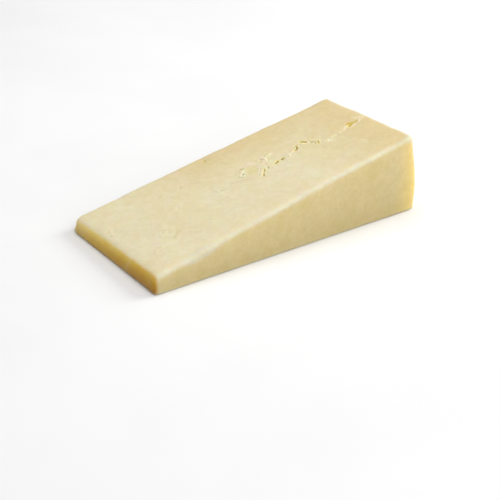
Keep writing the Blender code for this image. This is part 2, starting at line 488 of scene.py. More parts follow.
drop = ((skin - melt(skin, mean_of, EDGE_MELTING_ROUNDS)) * normals).sum(axis=1)
upper = smoothstep(*UPPER_FROM, height_share) * (1 - smoothstep(*EDGE_UNTIL_TIP, -soft_normals[:, 0]))
worn_and_lit = soft_spot(skin / MM, *WORN_AND_LIT_SPOT)
on_edge = smoothstep(*EDGE_FROM, drop / EDGE_DROP * (1 + WORN_AND_LIT_GAIN * worn_and_lit)) * upper
print("slope of the top along and across:", np.round(top_plane[1:], 3))

# %% [markdown]
# ## Tip, thick end and mellow top
# The tip's face is where a softened normal points to the tip, and its colour is painted shade.
# Noise makes its border wander, and a few paler bands cross it, where less shade is painted. The
# sides get a painted glow near the thick end, where light comes in from two sides, and less so
# towards the back. The top is mellower towards the back and the thick end. All the masks are
# stored on the mesh at last.

# %% Find the tip and the ends, and keep the masks
TIP_SOFTENING_ROUNDS = 7
TIP_WAVINESS = 0.12
TIP_WAVE_SIZE = 6.0
# How much a normal points to the tip, and how much it may point up
TIP_FROM = (0.15, 0.85)
TIP_UNTIL_TOP = (0.60, 0.97)
# Paler bands across the tip's face, where less shade is painted: place from front to back, half width and
# strength
TIP_BANDS = (
    (-14.0, 2.2, 0.22),
    (-33.0, 3.0, 0.06),
    (38.0, 20.0, 0.30),
    (40.0, 8.0, 0.40),
)
BAND_WANDER = 2.2
BAND_WANDER_SIZE = 4.0
# A soft stroke fades out between these shares of its half width
STROKE_FADE = (0.1, 1.2)
# The painted glow rises from one to the other of these distances to the thick end
GLOW_REACH = 24.0 * MM
GLOW_FULL = 2.0 * MM
# It loses this share of its strength between two places from front to back
GLOW_LOSS = 0.75
GLOW_FALLS = (-38.0, 24.0)
# Where the top turns mellow, millimetres: from front to back, along, and at the thick end
MELLOW_ACROSS = (-5.0, 38.0)
MELLOW_ALONG = (-58.0, 0.0)
MELLOW_NEAR_END = (15.0, 72.0)
# Where the tip's face turns from its front colours, in deeper painted shade, to its back colours
TIP_FRONT_TO_BACK = (-36.0, 22.0)

along, across = skin[:, 0] / MM, skin[:, 1] / MM
wide_normals = melt(normals, mean_of, TIP_SOFTENING_ROUNDS)
tipward = TIP_WAVINESS * noise_over(skin / MM, TIP_WAVE_SIZE, seed=7) - wide_normals[:, 0]
on_shaded_tip = smoothstep(*TIP_FROM, tipward) * (1 - smoothstep(*TIP_UNTIL_TOP, wide_normals[:, 2]))
wandering = across + BAND_WANDER * noise_over(skin / MM, BAND_WANDER_SIZE, seed=8)
for place, half_width, strength in TIP_BANDS:
    on_shaded_tip *= 1 - strength * (1 - smoothstep(*STROKE_FADE, abs(wandering - place) / half_width))

painted_end_glow = smoothstep(solid_high.x - GLOW_REACH, solid_high.x - GLOW_FULL, skin[:, 0]) * (1 - on_top)
painted_end_glow *= 1 - GLOW_LOSS * smoothstep(*GLOW_FALLS, across)
to_back = smoothstep(*MELLOW_ACROSS, across) * smoothstep(*MELLOW_ALONG, along)
face_masks = {
    "on_side": on_side,
    "on_shaded_tip": on_shaded_tip,
    "on_edge": on_edge,
    "foot": 1 - height_share,
    "painted_end_glow": painted_end_glow,
    "mellow": np.maximum(to_back, smoothstep(*MELLOW_NEAR_END, along)),
    "tip_front": 1 - smoothstep(*TIP_FRONT_TO_BACK, across),
}
for mask_name, values in face_masks.items():
    keep_mask(cheese.data, mask_name, values)
print("masks:", ", ".join(face_masks))

# %% [markdown]
# ## Ironing the fissure
# The solid carries the fissure as simple pits and lumps, cut for their place and size. The
# skin gets a much finer fissure in the same spot, so the simple one is melted flat first, only
# along its band. The band fades out towards its sides, so that no step is left round it.

# %% Iron the band flat
# The fissure's course over the top, from the tip's side to the thick end, in millimetres
FISSURE_COURSE = ((-4.0, 3.0), (4.5, -4.0), (9.3, -1.6), (16.0, -0.9), (24.0, 0.8), (31.0, 3.0),
                  (37.0, 5.0), (42.0, -1.5), (50.0, -3.3), (58.5, -1.5), (64.5, 0.8), (69.5, 0.0))
# Distances to the course between which the melting fades out, millimetres
IRONED_FADE = (6.0, 9.0)
# The melting stops short of the edge of the thick end, between these two lengths
IRONED_UNTIL = (69.0, 74.0)
IRONING_ROUNDS = 110


def to_stroke(points, start, end):
    """Distance of each point to a straight stroke, and the share of the stroke beside it."""
    start, end = np.array(start), np.array(end)
    along = end - start
    share = np.clip(((points - start) @ along) / (along @ along), 0, 1)
    return np.linalg.norm(points - (start + share[:, None] * along), axis=1), share


def to_course(points, course):
    """Distance of each point to the nearest stroke of a course of points."""
    return np.min([to_stroke(points, a, b)[0] for a, b in zip(course, course[1:])], axis=0)


to_fissure = to_course(skin[:, :2] / MM, FISSURE_COURSE)
ironed = (1 - smoothstep(*IRONED_FADE, to_fissure)) * on_top
ironed *= 1 - smoothstep(*IRONED_UNTIL, along)
skin = melt(skin, mean_of, IRONING_ROUNDS, ironed[:, None])
write_places(cheese.data, skin)
print("ironed vertices:", int((ironed > 0).sum()))

# %% [markdown]
# ## More mesh where the detail is
# Splitting every square of the skin would cost hundreds of thousands of faces for places
# that are plain. So only the squares near the fissure, the edges and a few marks are split
# in four, and those right at the fissure are split once more. The masks stored on the
# vertices are carried along, because a new vertex takes the mean of its two ends.

# %% Split the squares near detail
# Rough patches and marks on the top away from the fissure: x, y, reach in millimetres
MARKED_SPOTS = ((-59.0, -10.0, 7.0), (-69.0, -19.0, 4.5), (-30.3, 19.1, 2.5), (-37.2, 16.2, 3.0),
                (-75.5, 9.0, 8.0), (-19.0, -2.0, 9.0), (-6.6, 31.9, 2.0))
FINE_REACH = 10.5
FINEST_REACH = 6.5
EDGE_FINE_SHARE = 0.30
# A normal that points up by more than this belongs to the top
LOOKS_UP = 0.5


def split_faces(mesh, wanted):
    """Splits in four each face whose corners are all wanted."""
    shape = bmesh.new()
    shape.from_mesh(mesh)
    chosen = {face for face in shape.faces if all(wanted[corner.index] for corner in face.verts)}
    edges = [edge for edge in shape.edges if any(face in chosen for face in edge.link_faces)]
    bmesh.ops.subdivide_edges(shape, edges=edges, cuts=1, use_grid_fill=True)
    bmesh.ops.triangulate(shape, faces=[face for face in shape.faces if len(face.verts) > 4])
    shape.to_mesh(mesh)
    shape.free()


def near_fissure(mesh, reach):
    """Which vertices of the top are closer to the fissure's course than the reach."""
    to_fissure = to_course(read_places(mesh)[:, :2] / MM, FISSURE_COURSE)
    return (read_normals(mesh)[:, 2] > LOOKS_UP) & (to_fissure < reach)


def near_marks(mesh, least_reach=0):
    """Which vertices of the top are on a marked spot, taken at least as large as the reach."""
    x, y, _ = read_places(mesh).T / MM
    near = np.zeros(len(mesh.vertices), bool)
    for spot_x, spot_y, reach in MARKED_SPOTS:
        near |= np.hypot(x - spot_x, y - spot_y) < max(reach, least_reach)
    return (read_normals(mesh)[:, 2] > LOOKS_UP) & near


edge_wants = read_mask(cheese.data, "on_edge") > EDGE_FINE_SHARE
split_faces(cheese.data, edge_wants | near_marks(cheese.data) | near_fissure(cheese.data, FINE_REACH))
split_faces(cheese.data, near_fissure(cheese.data, FINEST_REACH))
print("triangles after splitting:", sum(len(face.vertices) - 2 for face in cheese.data.polygons))

# %% [markdown]
# ## Curds under the surface
# The cut faces aren't flat. The curds, pea to thumb size, swell and sink by a tenth of a
# millimetre, and the rubbed edges wander a little more. Noise moves each vertex along its
# normal: a slow noise for the curds, quicker ones for their lumps, and two extra ones that
# work on the edges only. The foot is held still, so that the cheese stands flat.

# %% Swell the curds
CURD_RELIEF = (
    # size of the lumps and their height, millimetres, and seed
    (16.0, 0.14, 1),
    (6.0, 0.07, 2),
    (2.4, 0.022, 3),
)
EDGE_RELIEF = (
    (9.0, 0.30, 11),
    (2.6, 0.10, 12),
)
# Heights above the base between which the relief sets in, millimetres
HELD_UNTIL = (0.2, 2.0)

places = read_places(cheese.data)
points = places / MM
edge = read_mask(cheese.data, "on_edge")
lift = np.zeros(len(points))
for size, height, seed in CURD_RELIEF:
    lift += height * noise_over(points, size, seed)
for size, height, seed in EDGE_RELIEF:
    lift += height * edge * noise_over(points, size, seed)
held = smoothstep(*HELD_UNTIL, points[:, 2])
places += read_normals(cheese.data) * (lift * held * MM)[:, None]
places[:, 2] = np.maximum(places[:, 2], 0)
write_places(cheese.data, places)
print("curd relief, mm:", round(lift.min(), 2), "to", round(lift.max(), 2))

# %% [markdown]
# ## Where the fissure is open
# The fissure is where the pressed curds came apart under the knife. It is a row of short
# ragged pits, with a larger and shallower hollow near the thick end. Fresh curd shows in
# them, which is a stronger yellow than the top, and their colour deepens with depth as painted
# shade. Small holes lie between them, painted dull as shade.
# Random pits would look like any cheese, so each is placed one by one as a short stroke.

# %% List the pits
# In each list: the ends of the stroke on the top, half width and depth, in millimetres
PITS = (
    ((7.3, -0.7), (6.0, -2.2), 0.48, 0.55),
    ((6.0, -2.2), (4.1, -3.8), 0.36, 0.22),
    ((4.1, -3.8), (3.1, -5.7), 0.46, 0.46),
    ((13.2, -0.6), (15.1, -0.1), 0.50, 0.60),
    ((14.9, 0.0), (16.2, 0.4), 0.84, 1.25),
    ((19.0, 0.5), (19.4, 0.6), 0.90, 1.75),
    ((19.5, 0.6), (20.6, 0.6), 0.58, 0.90),
    ((31.8, 5.7), (31.3, 3.6), 0.58, 0.80),
    ((31.2, 3.5), (29.2, 2.4), 0.64, 0.90),
    ((29.2, 2.4), (28.2, 2.1), 0.48, 0.55),
    ((36.4, 7.2), (37.1, 5.8), 0.85, 1.10),
    ((37.1, 5.8), (37.5, 4.5), 0.80, 1.10),
    ((42.2, 1.1), (41.5, -0.4), 0.55, 0.35),
    ((41.5, -0.4), (40.7, -1.9), 0.60, 0.42),
)
# Small holes, painted duller than the pits with the shade inside them
SPECKS = (
    ((9.7, -0.5), (9.2, -1.0), 0.52, 0.70),
    ((38.4, 2.4), (38.8, 1.8), 0.55, 0.75),
    ((39.0, 3.5), (39.3, 3.1), 0.45, 0.55),
    ((39.7, 2.5), (40.0, 1.9), 0.55, 0.75),
    ((39.9, 0.1), (40.3, -0.5), 0.58, 0.75),
    ((42.4, 6.3), (42.6, 5.9), 0.45, 0.45),
    ((12.1, 9.1), (12.3, 8.7), 0.48, 0.45),
    ((-0.3, 8.8), (-0.1, 8.4), 0.48, 0.45),
    ((-2.3, 4.4), (-2.9, 3.8), 0.48, 0.45),
    ((-30.3, 19.0), (-30.1, 18.8), 0.42, 0.60),
)
# The hollow near the thick end, and one small dent near the back edge
HOLLOW = (
    ((62.9, 2.9), (65.4, 2.0), 0.90, 0.40),
    ((62.9, 2.4), (64.2, 0.4), 1.00, 0.48),
    ((61.8, -0.5), (63.3, 0.3), 1.00, 0.46),
    ((64.8, 1.5), (68.2, 0.9), 0.95, 0.40),
    ((-6.6, 32.0), (-6.2, 32.3), 0.80, 0.30),
)
print("pits, specks and parts of the hollow:", len(PITS), len(SPECKS), len(HOLLOW))

# %% [markdown]
# ## Measuring the pits on the skin
# Bending the places by noise before measuring the distance to a stroke is the trick that
# makes an outline ragged, and noise roughens the floors too. The depths of all strokes are
# compared and the deepest wins, so crossing strokes don't dig twice. Nothing moves yet,
# because flakes and crumbs come first.

# %% Measure the pits
# Only vertices this close to the fissure's course or to a marked spot are worked on
WORKED_REACH = 16
WORKED_SPOT_REACH = 10
RAGGED_SIZE = 1.1
RAGGED_REACH = 0.30
# A pit is deepest up to the first of these shares of its half width and ends at the second
DISH = (0.35, 1.15)
LIP_WIDTH = 0.9
FLOOR_LUMPS = 0.75
FLOOR_ROUGHNESS = 0.35


def bend(points, size, reach, seed):
    """Moves the places on the plan about by noise, which makes every outline ragged."""
    aside = [noise_over(points, size, seed + turn) for turn in (0, 1)]
    return points[:, :2] + reach * np.stack(aside, axis=1)


def carve(points, strokes):
    """Depth of the strokes at each point, how far it is inside one, and how far on its lip."""
    depth, inside, lip = np.zeros((3, len(points)))
    for start, end, half_width, stroke_depth in strokes:
        distance, _ = to_stroke(points, start, end)
        dish = 1 - smoothstep(*DISH, distance / half_width)
        depth = np.maximum(depth, dish * stroke_depth)
        inside = np.maximum(inside, dish)
        lip = np.maximum(lip, 1 - smoothstep(half_width, half_width + LIP_WIDTH, distance))
    return depth, inside, lip * (1 - inside)


places = read_places(cheese.data)
points = places / MM
near = near_fissure(cheese.data, WORKED_REACH) | near_marks(cheese.data, WORKED_SPOT_REACH)
worked = np.flatnonzero(near)
worked_points = points[worked]
ragged = bend(worked_points, RAGGED_SIZE, RAGGED_REACH, seed=21)

pit_depth, in_pit, pit_lip = carve(ragged, PITS)
hollow_depth, in_hollow, _ = carve(ragged, HOLLOW)
speck_depth, in_speck, _ = carve(ragged, SPECKS)
floor_lumps = noise_over(worked_points, FLOOR_LUMPS, seed=61)
depth = np.max([pit_depth, hollow_depth, speck_depth], axis=0) * (1 + FLOOR_ROUGHNESS * floor_lumps)
inside = np.max([in_pit, in_hollow, in_speck], axis=0)
print("deepest pit, mm:", round(depth.max(), 2))

# %% [markdown]
# ## Flakes
# A flake is a low ridge that rises gently on one side and breaks off steeply on the other.
# They too are placed one by one: a fan of them beside a smooth round eye, bright lips beside the
# pits, and a thin seam that runs on where the pits stop.

# %% List the flakes
FLAKES = (
    # ends of the ridge on the top, half width, height, millimetres
    ((20.4, 10.6), (14.1, 8.8), 0.80, 0.33),
    ((14.5, 8.8), (12.7, 5.9), 0.85, 0.44),
    ((12.7, 5.9), (12.4, 3.6), 0.72, 0.30),
    ((13.8, 4.3), (14.3, 3.8), 0.48, 0.30),
    ((14.6, 12.4), (13.5, 9.4), 0.70, 0.30),
    ((16.6, 15.4), (14.9, 14.1), 0.60, 0.16),
    ((11.4, 10.8), (11.4, 9.8), 0.60, 0.36),
    ((1.1, 10.6), (1.6, 8.8), 0.80, 0.28),
    ((0.1, 7.5), (-2.2, 5.9), 0.85, 0.32),
    ((-2.2, 5.9), (-4.4, 3.1), 0.85, 0.32),
    ((-2.6, 2.9), (-3.4, 1.6), 0.60, 0.20),
    ((3.4, 9.7), (5.7, 10.4), 1.05, 0.24),
    ((5.7, 10.4), (7.5, 9.3), 1.05, 0.26),
    ((7.5, 9.3), (7.5, 6.4), 0.95, 0.22),
    ((5.7, -0.2), (4.5, -1.8), 0.65, 0.24),
    ((4.5, -1.8), (2.6, -3.5), 0.70, 0.24),
    ((2.6, -3.5), (1.5, -5.7), 0.65, 0.22),
    ((4.8, -5.0), (3.9, -6.2), 0.55, 0.36),
    ((13.0, 0.6), (13.7, 0.3), 0.52, 0.34),
    ((11.3, -1.5), (11.7, -0.9), 0.48, 0.34),
    ((10.8, 1.0), (11.2, 1.7), 0.50, 0.32),
    ((10.0, -2.0), (10.3, -1.5), 0.48, 0.32),
    ((4.5, -7.3), (4.1, -7.9), 0.45, 0.30),
    ((22.4, 1.7), (23.3, 0.7), 0.60, 0.36),
    ((19.6, 2.0), (20.8, 1.2), 0.55, 0.30),
    ((20.6, -1.7), (21.5, -1.4), 0.50, 0.30),
    ((24.6, 1.0), (28.1, 2.2), 0.80, 0.22),
    ((31.9, 5.8), (29.9, 3.4), 0.65, 0.38),
    ((30.3, 1.0), (28.6, 0.1), 0.60, 0.32),
    ((35.2, 5.3), (36.1, 3.5), 0.65, 0.38),
    ((38.7, 6.5), (39.2, 5.1), 0.60, 0.32),
    ((40.4, 5.7), (41.4, 6.1), 0.55, 0.28),
    ((37.5, 3.1), (37.9, 2.5), 0.45, 0.30),
    ((42.1, 2.6), (42.5, 2.0), 0.50, 0.30),
    ((39.4, -1.2), (39.8, -1.8), 0.45, 0.28),
    ((41.8, 7.2), (42.2, 6.6), 0.42, 0.24),
    ((40.7, 8.9), (41.1, 8.3), 0.42, 0.24),
    ((40.6, 3.3), (41.0, 2.7), 0.52, 0.38),
    ((38.9, 0.5), (39.2, -0.2), 0.50, 0.30),
    ((44.5, 3.4), (45.5, 2.2), 0.60, 0.26),
    ((45.3, -3.1), (44.7, -3.8), 1.25, 0.60),
    ((48.5, -2.5), (51.1, -2.2), 0.75, 0.20),
    ((51.1, -2.2), (54.0, -2.2), 0.70, 0.15),
    ((54.0, -2.2), (56.5, -2.0), 0.70, 0.16),
    ((56.5, -2.0), (59.3, 0.2), 0.80, 0.19),
    ((59.6, 0.9), (60.2, -0.1), 0.60, 0.26),
    ((61.8, -2.2), (63.4, -1.8), 0.65, 0.34),
    ((63.4, -1.8), (65.7, -0.9), 0.60, 0.36),
    ((67.8, -0.7), (70.1, 0.5), 0.70, 0.42),
)
print("flakes:", len(FLAKES))

# %% [markdown]
# ## Raising the flakes, and the eye
# A ridge made from a stroke is as even as a pipe, so each flake tapers at both ends, and noise
# breaks it up. The eye is a curd that stayed whole: an oval, smooth and nearly flat, and only
# its far side has a crumbly rim.

# %% Measure the flakes and the eye
# Width of a flake's steep and gentle side, as shares of its half width
STEEP_SIDE = 0.7
GENTLE_SIDE = 1.2
RIDGE_FADE = (0.15, 1.0)
# A flake tapers towards this share of its height, up to this share of its length from its ends
TAPERED_HEIGHT = 0.55
TAPER_STOP = 0.05
# At its lowest breaks it keeps this share of its height
BROKEN_HEIGHT = 0.45
BREAK_SIZE = 1.3
BREAK_FADE = (-0.45, 0.15)
# The eye on the top, in millimetres
EYE_MIDDLE = (2.7, 3.2)
EYE_HEADING = math.radians(53)
EYE_HALF_LENGTH = 4.8
EYE_HALF_WIDTH = 3.1
EYE_RIM = (0.75, 1.05)


def flake(points, start, end, half_width, height):
    """A ridge with one gentle and one steep side, tapered at both ends."""
    distance, share = to_stroke(points, start, end)
    along = np.array(end) - np.array(start)
    side = (points[:, 0] - start[0]) * along[1] - (points[:, 1] - start[1]) * along[0]
    width = half_width * np.where(side > 0, STEEP_SIDE, GENTLE_SIDE)
    bow = np.sin(math.pi * np.clip(share, TAPER_STOP, 1 - TAPER_STOP))
    taper = TAPERED_HEIGHT + (1 - TAPERED_HEIGHT) * bow
    return height * taper * (1 - smoothstep(*RIDGE_FADE, distance / width))


def oval(points, middle, heading, half_length, half_width):
    """Distance from the middle of an oval, which is 1 on its outline."""
    offset = points - np.array(middle)
    along = offset @ np.array([math.cos(heading), math.sin(heading)])
    aside = offset @ np.array([-math.sin(heading), math.cos(heading)])
    return np.hypot(along / half_length, aside / half_width)


raised = np.max([flake(ragged, *each_flake) for each_flake in FLAKES], axis=0)
whole = smoothstep(*BREAK_FADE, noise_over(worked_points, BREAK_SIZE, seed=41))
raised *= BROKEN_HEIGHT + (1 - BROKEN_HEIGHT) * whole

from_eye = oval(ragged, EYE_MIDDLE, EYE_HEADING, EYE_HALF_LENGTH, EYE_HALF_WIDTH)
in_eye = 1 - smoothstep(*EYE_RIM, from_eye)
print("highest flake, mm:", round(raised.max(), 2))

# %% [markdown]
# ## Scuffed curd
# Between pits and flakes the broken curd is rough, like a torn loaf but much finer. It is
# rough in scuffed bands that follow the fissure, and faintly in a few other patches. Noise
# leaves gaps in the bands, and the eye stays smooth.

# %% Find the scuffed places
SCUFFS = (
    # ends of the band on the top, half width, millimetres
    ((1.4, 10.2), (-4.2, 2.6), 2.0),
    ((3.4, 9.9), (7.5, 9.2), 1.3),
    ((7.6, 9.0), (7.4, 3.4), 1.3),
    ((6.4, 2.6), (1.8, -4.6), 1.7),
    ((11.0, 9.6), (13.4, 5.0), 2.3),
    ((11.8, -1.8), (15.2, -3.0), 1.5),
    ((18.6, 2.0), (23.4, 1.2), 1.9),
    ((21.2, -1.4), (23.0, -0.6), 1.2),
    ((24.6, 1.0), (28.1, 2.2), 1.2),
    ((31.6, 6.2), (35.6, 5.4), 1.3),
    ((38.6, 5.4), (40.8, 1.6), 2.4),
    ((44.6, 2.8), (41.4, -2.4), 1.5),
    ((45.0, -4.0), (44.4, -4.4), 2.0),
    ((48.5, -2.5), (56.5, -2.0), 1.0),
    ((56.5, -2.0), (60.5, -0.6), 1.1),
    ((61.8, -2.2), (65.7, -0.9), 0.9),
    ((67.8, -0.7), (70.3, 0.5), 0.9),
)
SCUFF_FADE = (0.45, 1.1)
SCUFF_GAP_SIZE = 2.6
SCUFF_GAP_FADE = (-0.8, 0.1)
# How scuffed the marked spots away from the fissure are
SPOT_SHARE = 0.55

scuffed = np.zeros(len(worked))
for start, end, half_width in SCUFFS:
    distance, _ = to_stroke(ragged, start, end)
    scuffed = np.maximum(scuffed, 1 - smoothstep(*SCUFF_FADE, distance / half_width))
for x, y, reach in MARKED_SPOTS:
    scuffed = np.maximum(scuffed, SPOT_SHARE * soft_spot(ragged, x, y, reach))
scuffed *= smoothstep(*SCUFF_GAP_FADE, noise_over(worked_points, SCUFF_GAP_SIZE, seed=31)) * (1 - in_eye)
print("scuffed vertices:", int((scuffed > 0).sum()))

# %% [markdown]
# ## Crumbs and pores
# The scuffed curd is made of grains, and a Voronoi pattern has them ready: each point belongs
# to the nearest of many scattered centres. A random number for each centre decides its grain:
# some stand up pale, some have fallen out and leave a pore, and the rest stay as they are.

# %% Sort the grains
GRAIN_SIZE = 0.85
# How quickly a grain falls off from its middle, and the range of that which shapes its side
GRAIN_STEEPNESS = 1.5
GRAIN_SIDE = (0.05, 0.55)
# Cell noise changes at whole numbers, so the centres are spread by this much for the draw
DRAW_SPREAD = 37
PALE_GRAINS_FROM = 0.1
PORES_UNTIL = -0.6
LEAST_SCUFF = 0.01


def curd_grains(points, size):
    """How near each point is to its grain's middle, and the grain's random number, -1 to 1."""
    nearness, draw = np.empty((2, len(points)))
    for number, point in enumerate(points):
        distances, centres = noise.voronoi(Vector(point) / size)
        nearness[number] = 1 - min(distances[0] * GRAIN_STEEPNESS, 1)
        draw[number] = noise.cell(centres[0] * DRAW_SPREAD)
    return nearness, draw


rough = np.flatnonzero(scuffed > LEAST_SCUFF)
nearness, drawn = curd_grains(worked_points[rough], GRAIN_SIZE)
grain_body = smoothstep(*GRAIN_SIDE, nearness) * scuffed[rough]
pale_grain, pore = np.zeros((2, len(worked)))
pale_grain[rough] = grain_body * (drawn > PALE_GRAINS_FROM)
pore[rough] = grain_body * (drawn < PORES_UNTIL)
print("share of pale grains:", round(float((drawn > PALE_GRAINS_FROM).mean()), 2))

# %% [markdown]
# ## One move for all the relief
# Pits, flakes, crumbs, pores and the eye now meet in one sum, which moves each vertex up or
# down. Inside a pit no flake or crumb counts. Masks for the colours are stored at the same
# time, so that colour and relief can't drift apart.

# %% Carve the skin
GRAIN_HEIGHT = 0.30
PORE_DEPTH = 0.30
LIP_HEIGHT = 0.10
EYE_DEPTH = 0.10
# A pit has its full colour, which is partly painted shade, from this depth, and a flake from this height
FULL_PIT_DEPTH = 0.75
FULL_FLAKE_HEIGHT = 0.30
GRAIN_PALENESS = 0.8
# How much the hollow's colour, partly painted shade, varies with the lumps of its floor
HOLLOW_VARIATION = 0.35

lift = np.maximum(raised, GRAIN_HEIGHT * pale_grain) + LIP_HEIGHT * pit_lip - PORE_DEPTH * pore
change = lift * (1 - inside) - depth - EYE_DEPTH * in_eye
places[worked, 2] += change * MM
write_places(cheese.data, places)

crumb = np.clip(raised / FULL_FLAKE_HEIGHT + GRAIN_PALENESS * pale_grain, 0, 1)
fissure_masks = {
    "in_pit": smoothstep(0, FULL_PIT_DEPTH, pit_depth),
    "in_hollow": in_hollow * np.clip(1 + HOLLOW_VARIATION * floor_lumps, 0, 1),
    "in_eye": in_eye,
    "in_pore": np.maximum(pore * (1 - inside), in_speck),
    "on_lip": pit_lip,
    "on_crumb": crumb * (1 - inside),
}
for mask_name, values in fissure_masks.items():
    on_all = np.zeros(len(places))
    on_all[worked] = values
    keep_mask(cheese.data, mask_name, on_all)
print("carving, mm:", round(change.min(), 2), "to", round(change.max(), 2))

# %% [markdown]
# ## Quiet marks on the top
# A cut face has seen a knife, a wrapper and some fingers. The dents and scrapes that they leave
# are hardly deeper than a hair, so their light and shade is painted into the colour: paler
# streaks of painted light and duller ones of painted shade. Nobody notices them one by one, but
# without them the top looks like plastic.
# Each mark is a soft stroke again, and this time it changes the colour only.

# %% Note the marks
# In each list: ends of the mark on the top, half width, millimetres, and strength
PAINTED_LIGHT_MARKS = (
    ((-48.0, 1.9), (-42.3, 3.5), 0.8, 0.8),
    ((-39.9, 4.2), (-39.1, 4.8), 0.9, 1.0),
    ((-57.2, -6.8), (-59.6, -12.2), 2.0, 0.6),
    ((-68.8, -16.8), (-69.9, -22.1), 1.8, 0.6),
    ((-50.7, -17.4), (-46.6, -21.6), 0.8, 0.6),
    ((-73.6, 17.4), (-77.1, 0.7), 1.8, 0.5),
    ((-0.1, 15.7), (3.9, 16.3), 0.9, 0.6),
    ((-19.3, 16.3), (-13.2, 13.1), 1.1, 0.7),
    ((-25.3, -3.5), (-16.4, -1.1), 1.0, 0.5),
    ((-41.0, 22.6), (-43.6, 21.0), 0.8, 0.6),
    ((-37.2, 17.9), (-38.4, 16.6), 0.6, 0.5),
    ((34.2, 12.5), (33.4, 12.9), 1.8, 0.6),
    ((-11.0, -38.0), (-8.2, -38.2), 1.2, 0.9),
    ((31.1, 20.7), (30.4, 20.9), 1.8, 0.5),
    ((55.6, -18.0), (55.2, -21.9), 1.6, 0.7),
    ((48.5, -2.5), (57.5, -1.6), 1.7, 0.5),
    ((44.5, -3.2), (46.0, -4.6), 2.9, 0.8),
    ((45.3, -2.9), (44.9, -3.5), 1.6, 1.0),
    ((59.4, 0.2), (62.4, -1.8), 1.4, 0.4),
    ((69.6, 5.8), (72.4, 1.4), 1.5, 0.9),
)
PAINTED_SHADE_MARKS = (
    ((16.5, 14.4), (15.3, 12.2), 0.5, 0.9),
    ((16.6, 11.6), (15.7, 10.3), 0.5, 0.9),
    ((-12.3, 2.1), (-4.5, -2.0), 0.9, 0.6),
    ((-21.0, 6.9), (-20.9, -12.4), 0.9, 0.4),
    ((-41.7, 20.1), (-42.6, 19.4), 1.3, 0.6),
    ((-57.7, -17.0), (-53.3, -14.4), 1.3, 0.6),
    ((-50.9, -19.0), (-46.8, -23.2), 0.8, 0.5),
    ((66.0, 11.3), (70.0, 5.6), 0.9, 0.6),
    ((53.0, -3.6), (54.3, -6.7), 0.8, 0.7),
    ((51.8, -4.6), (53.2, -7.6), 0.8, 0.6),
    ((39.2, -6.0), (40.1, -8.5), 0.8, 0.6),
    ((57.6, -17.6), (57.4, -21.6), 1.0, 0.5),
    ((64.5, -1.9), (66.8, -2.5), 0.7, 0.7),
)
MARK_WANDER = 0.8
MARK_WANDER_SIZE = 3.0
# How much a normal points up where the marks set in
MARKS_FROM = (0.4, 0.8)


def marks_on(points, marks):
    shade = np.zeros(len(points))
    for start, end, half_width, strength in marks:
        distance, _ = to_stroke(points, start, end)
        shade = np.maximum(shade, strength * (1 - smoothstep(*STROKE_FADE, distance / half_width)))
    return shade


wide_ragged = bend(places / MM, MARK_WANDER_SIZE, MARK_WANDER, seed=51)
facing_up = smoothstep(*MARKS_FROM, read_normals(cheese.data)[:, 2])
# The marks' painted light and painted shade, only where the surface faces up
keep_mask(cheese.data, "painted_light_marks", marks_on(wide_ragged, PAINTED_LIGHT_MARKS) * facing_up)
keep_mask(cheese.data, "painted_shade_marks", marks_on(wide_ragged, PAINTED_SHADE_MARKS) * facing_up)
print("marks:", len(PAINTED_LIGHT_MARKS) + len(PAINTED_SHADE_MARKS))

# %% [markdown]
# ## Colours of the faces
# The colour is mixed step by step, each step by one mask: a pale top, sides in deeper painted
# shade that darkens further towards the foot, a painted glow near the thick end, the tip in
# deep painted shade, and the pale upper edges, partly rubbed and partly a painted highlight.
# The colours are given as sRGB. The tip has three of them from its upper edge to its foot, and
# they are deeper at the front than at the back.

# %% Mix the colours of the faces
TOP_CREAM = (0.930, 0.892, 0.775)
TOP_BUTTER = (0.918, 0.873, 0.727)
TOP_MELLOW = (0.892, 0.815, 0.622)
# The sides' colours are painted shade, deeper than the top's, and the foot is painted darker still
SHADED_SIDE_YELLOW = (0.899, 0.834, 0.650)
SHADED_SIDE_STRAW = (0.879, 0.810, 0.595)
FOOT_SHADE_OCHRE = (0.756, 0.694, 0.502)
# A painted glow, where light comes through near the thick end
PAINTED_END_GLOW = (0.985, 0.880, 0.530)
# Pale upper edges: rubbed wear and a painted highlight
EDGE_CREAM_AND_HIGHLIGHT = (0.872, 0.866, 0.800)
# The tip's colours are painted shade, paler at the upper edge where light through the thin tip
# is painted: straw at the upper edge, gold at this share of the way down, and its foot
TIP_GOLD_AT = 0.45
SHADED_TIP_BACK = ((0.955, 0.880, 0.545), (0.852, 0.722, 0.290), (0.740, 0.600, 0.280))
SHADED_TIP_FRONT = ((0.923, 0.814, 0.400), (0.788, 0.624, 0.105), (0.610, 0.405, 0.030))
TIP_AMBER_TINT = (1.000, 0.955, 0.800)
# How strongly the masks count
AMBER_SHARE = 0.7
MELLOW_SHARE = 0.88
FOOT_SHARE = 0.7
GLOW_SHARE = 0.9
EDGE_SHARE = 0.75


def mask_of(tree, name, strength=1.0):
    """The mesh's mask of that name, times a strength."""
    value = add_node(tree, "ShaderNodeAttribute", attribute_name=name).outputs["Fac"]
    return maths(tree, "MULTIPLY", value, strength)


def shaded_tip_ramp(tree, colours):
    """Painted shade of the tip's face, from its upper edge down to its foot."""
    ramp = add_node(tree, "ShaderNodeValToRGB", {"Fac": mask_of(tree, "foot")})
    straw, gold, foot = (linear(colour) for colour in colours)
    upper, lower = ramp.color_ramp.elements
    upper.color, lower.color = straw, foot
    ramp.color_ramp.elements.new(TIP_GOLD_AT).color = gold
    return ramp.outputs["Color"]


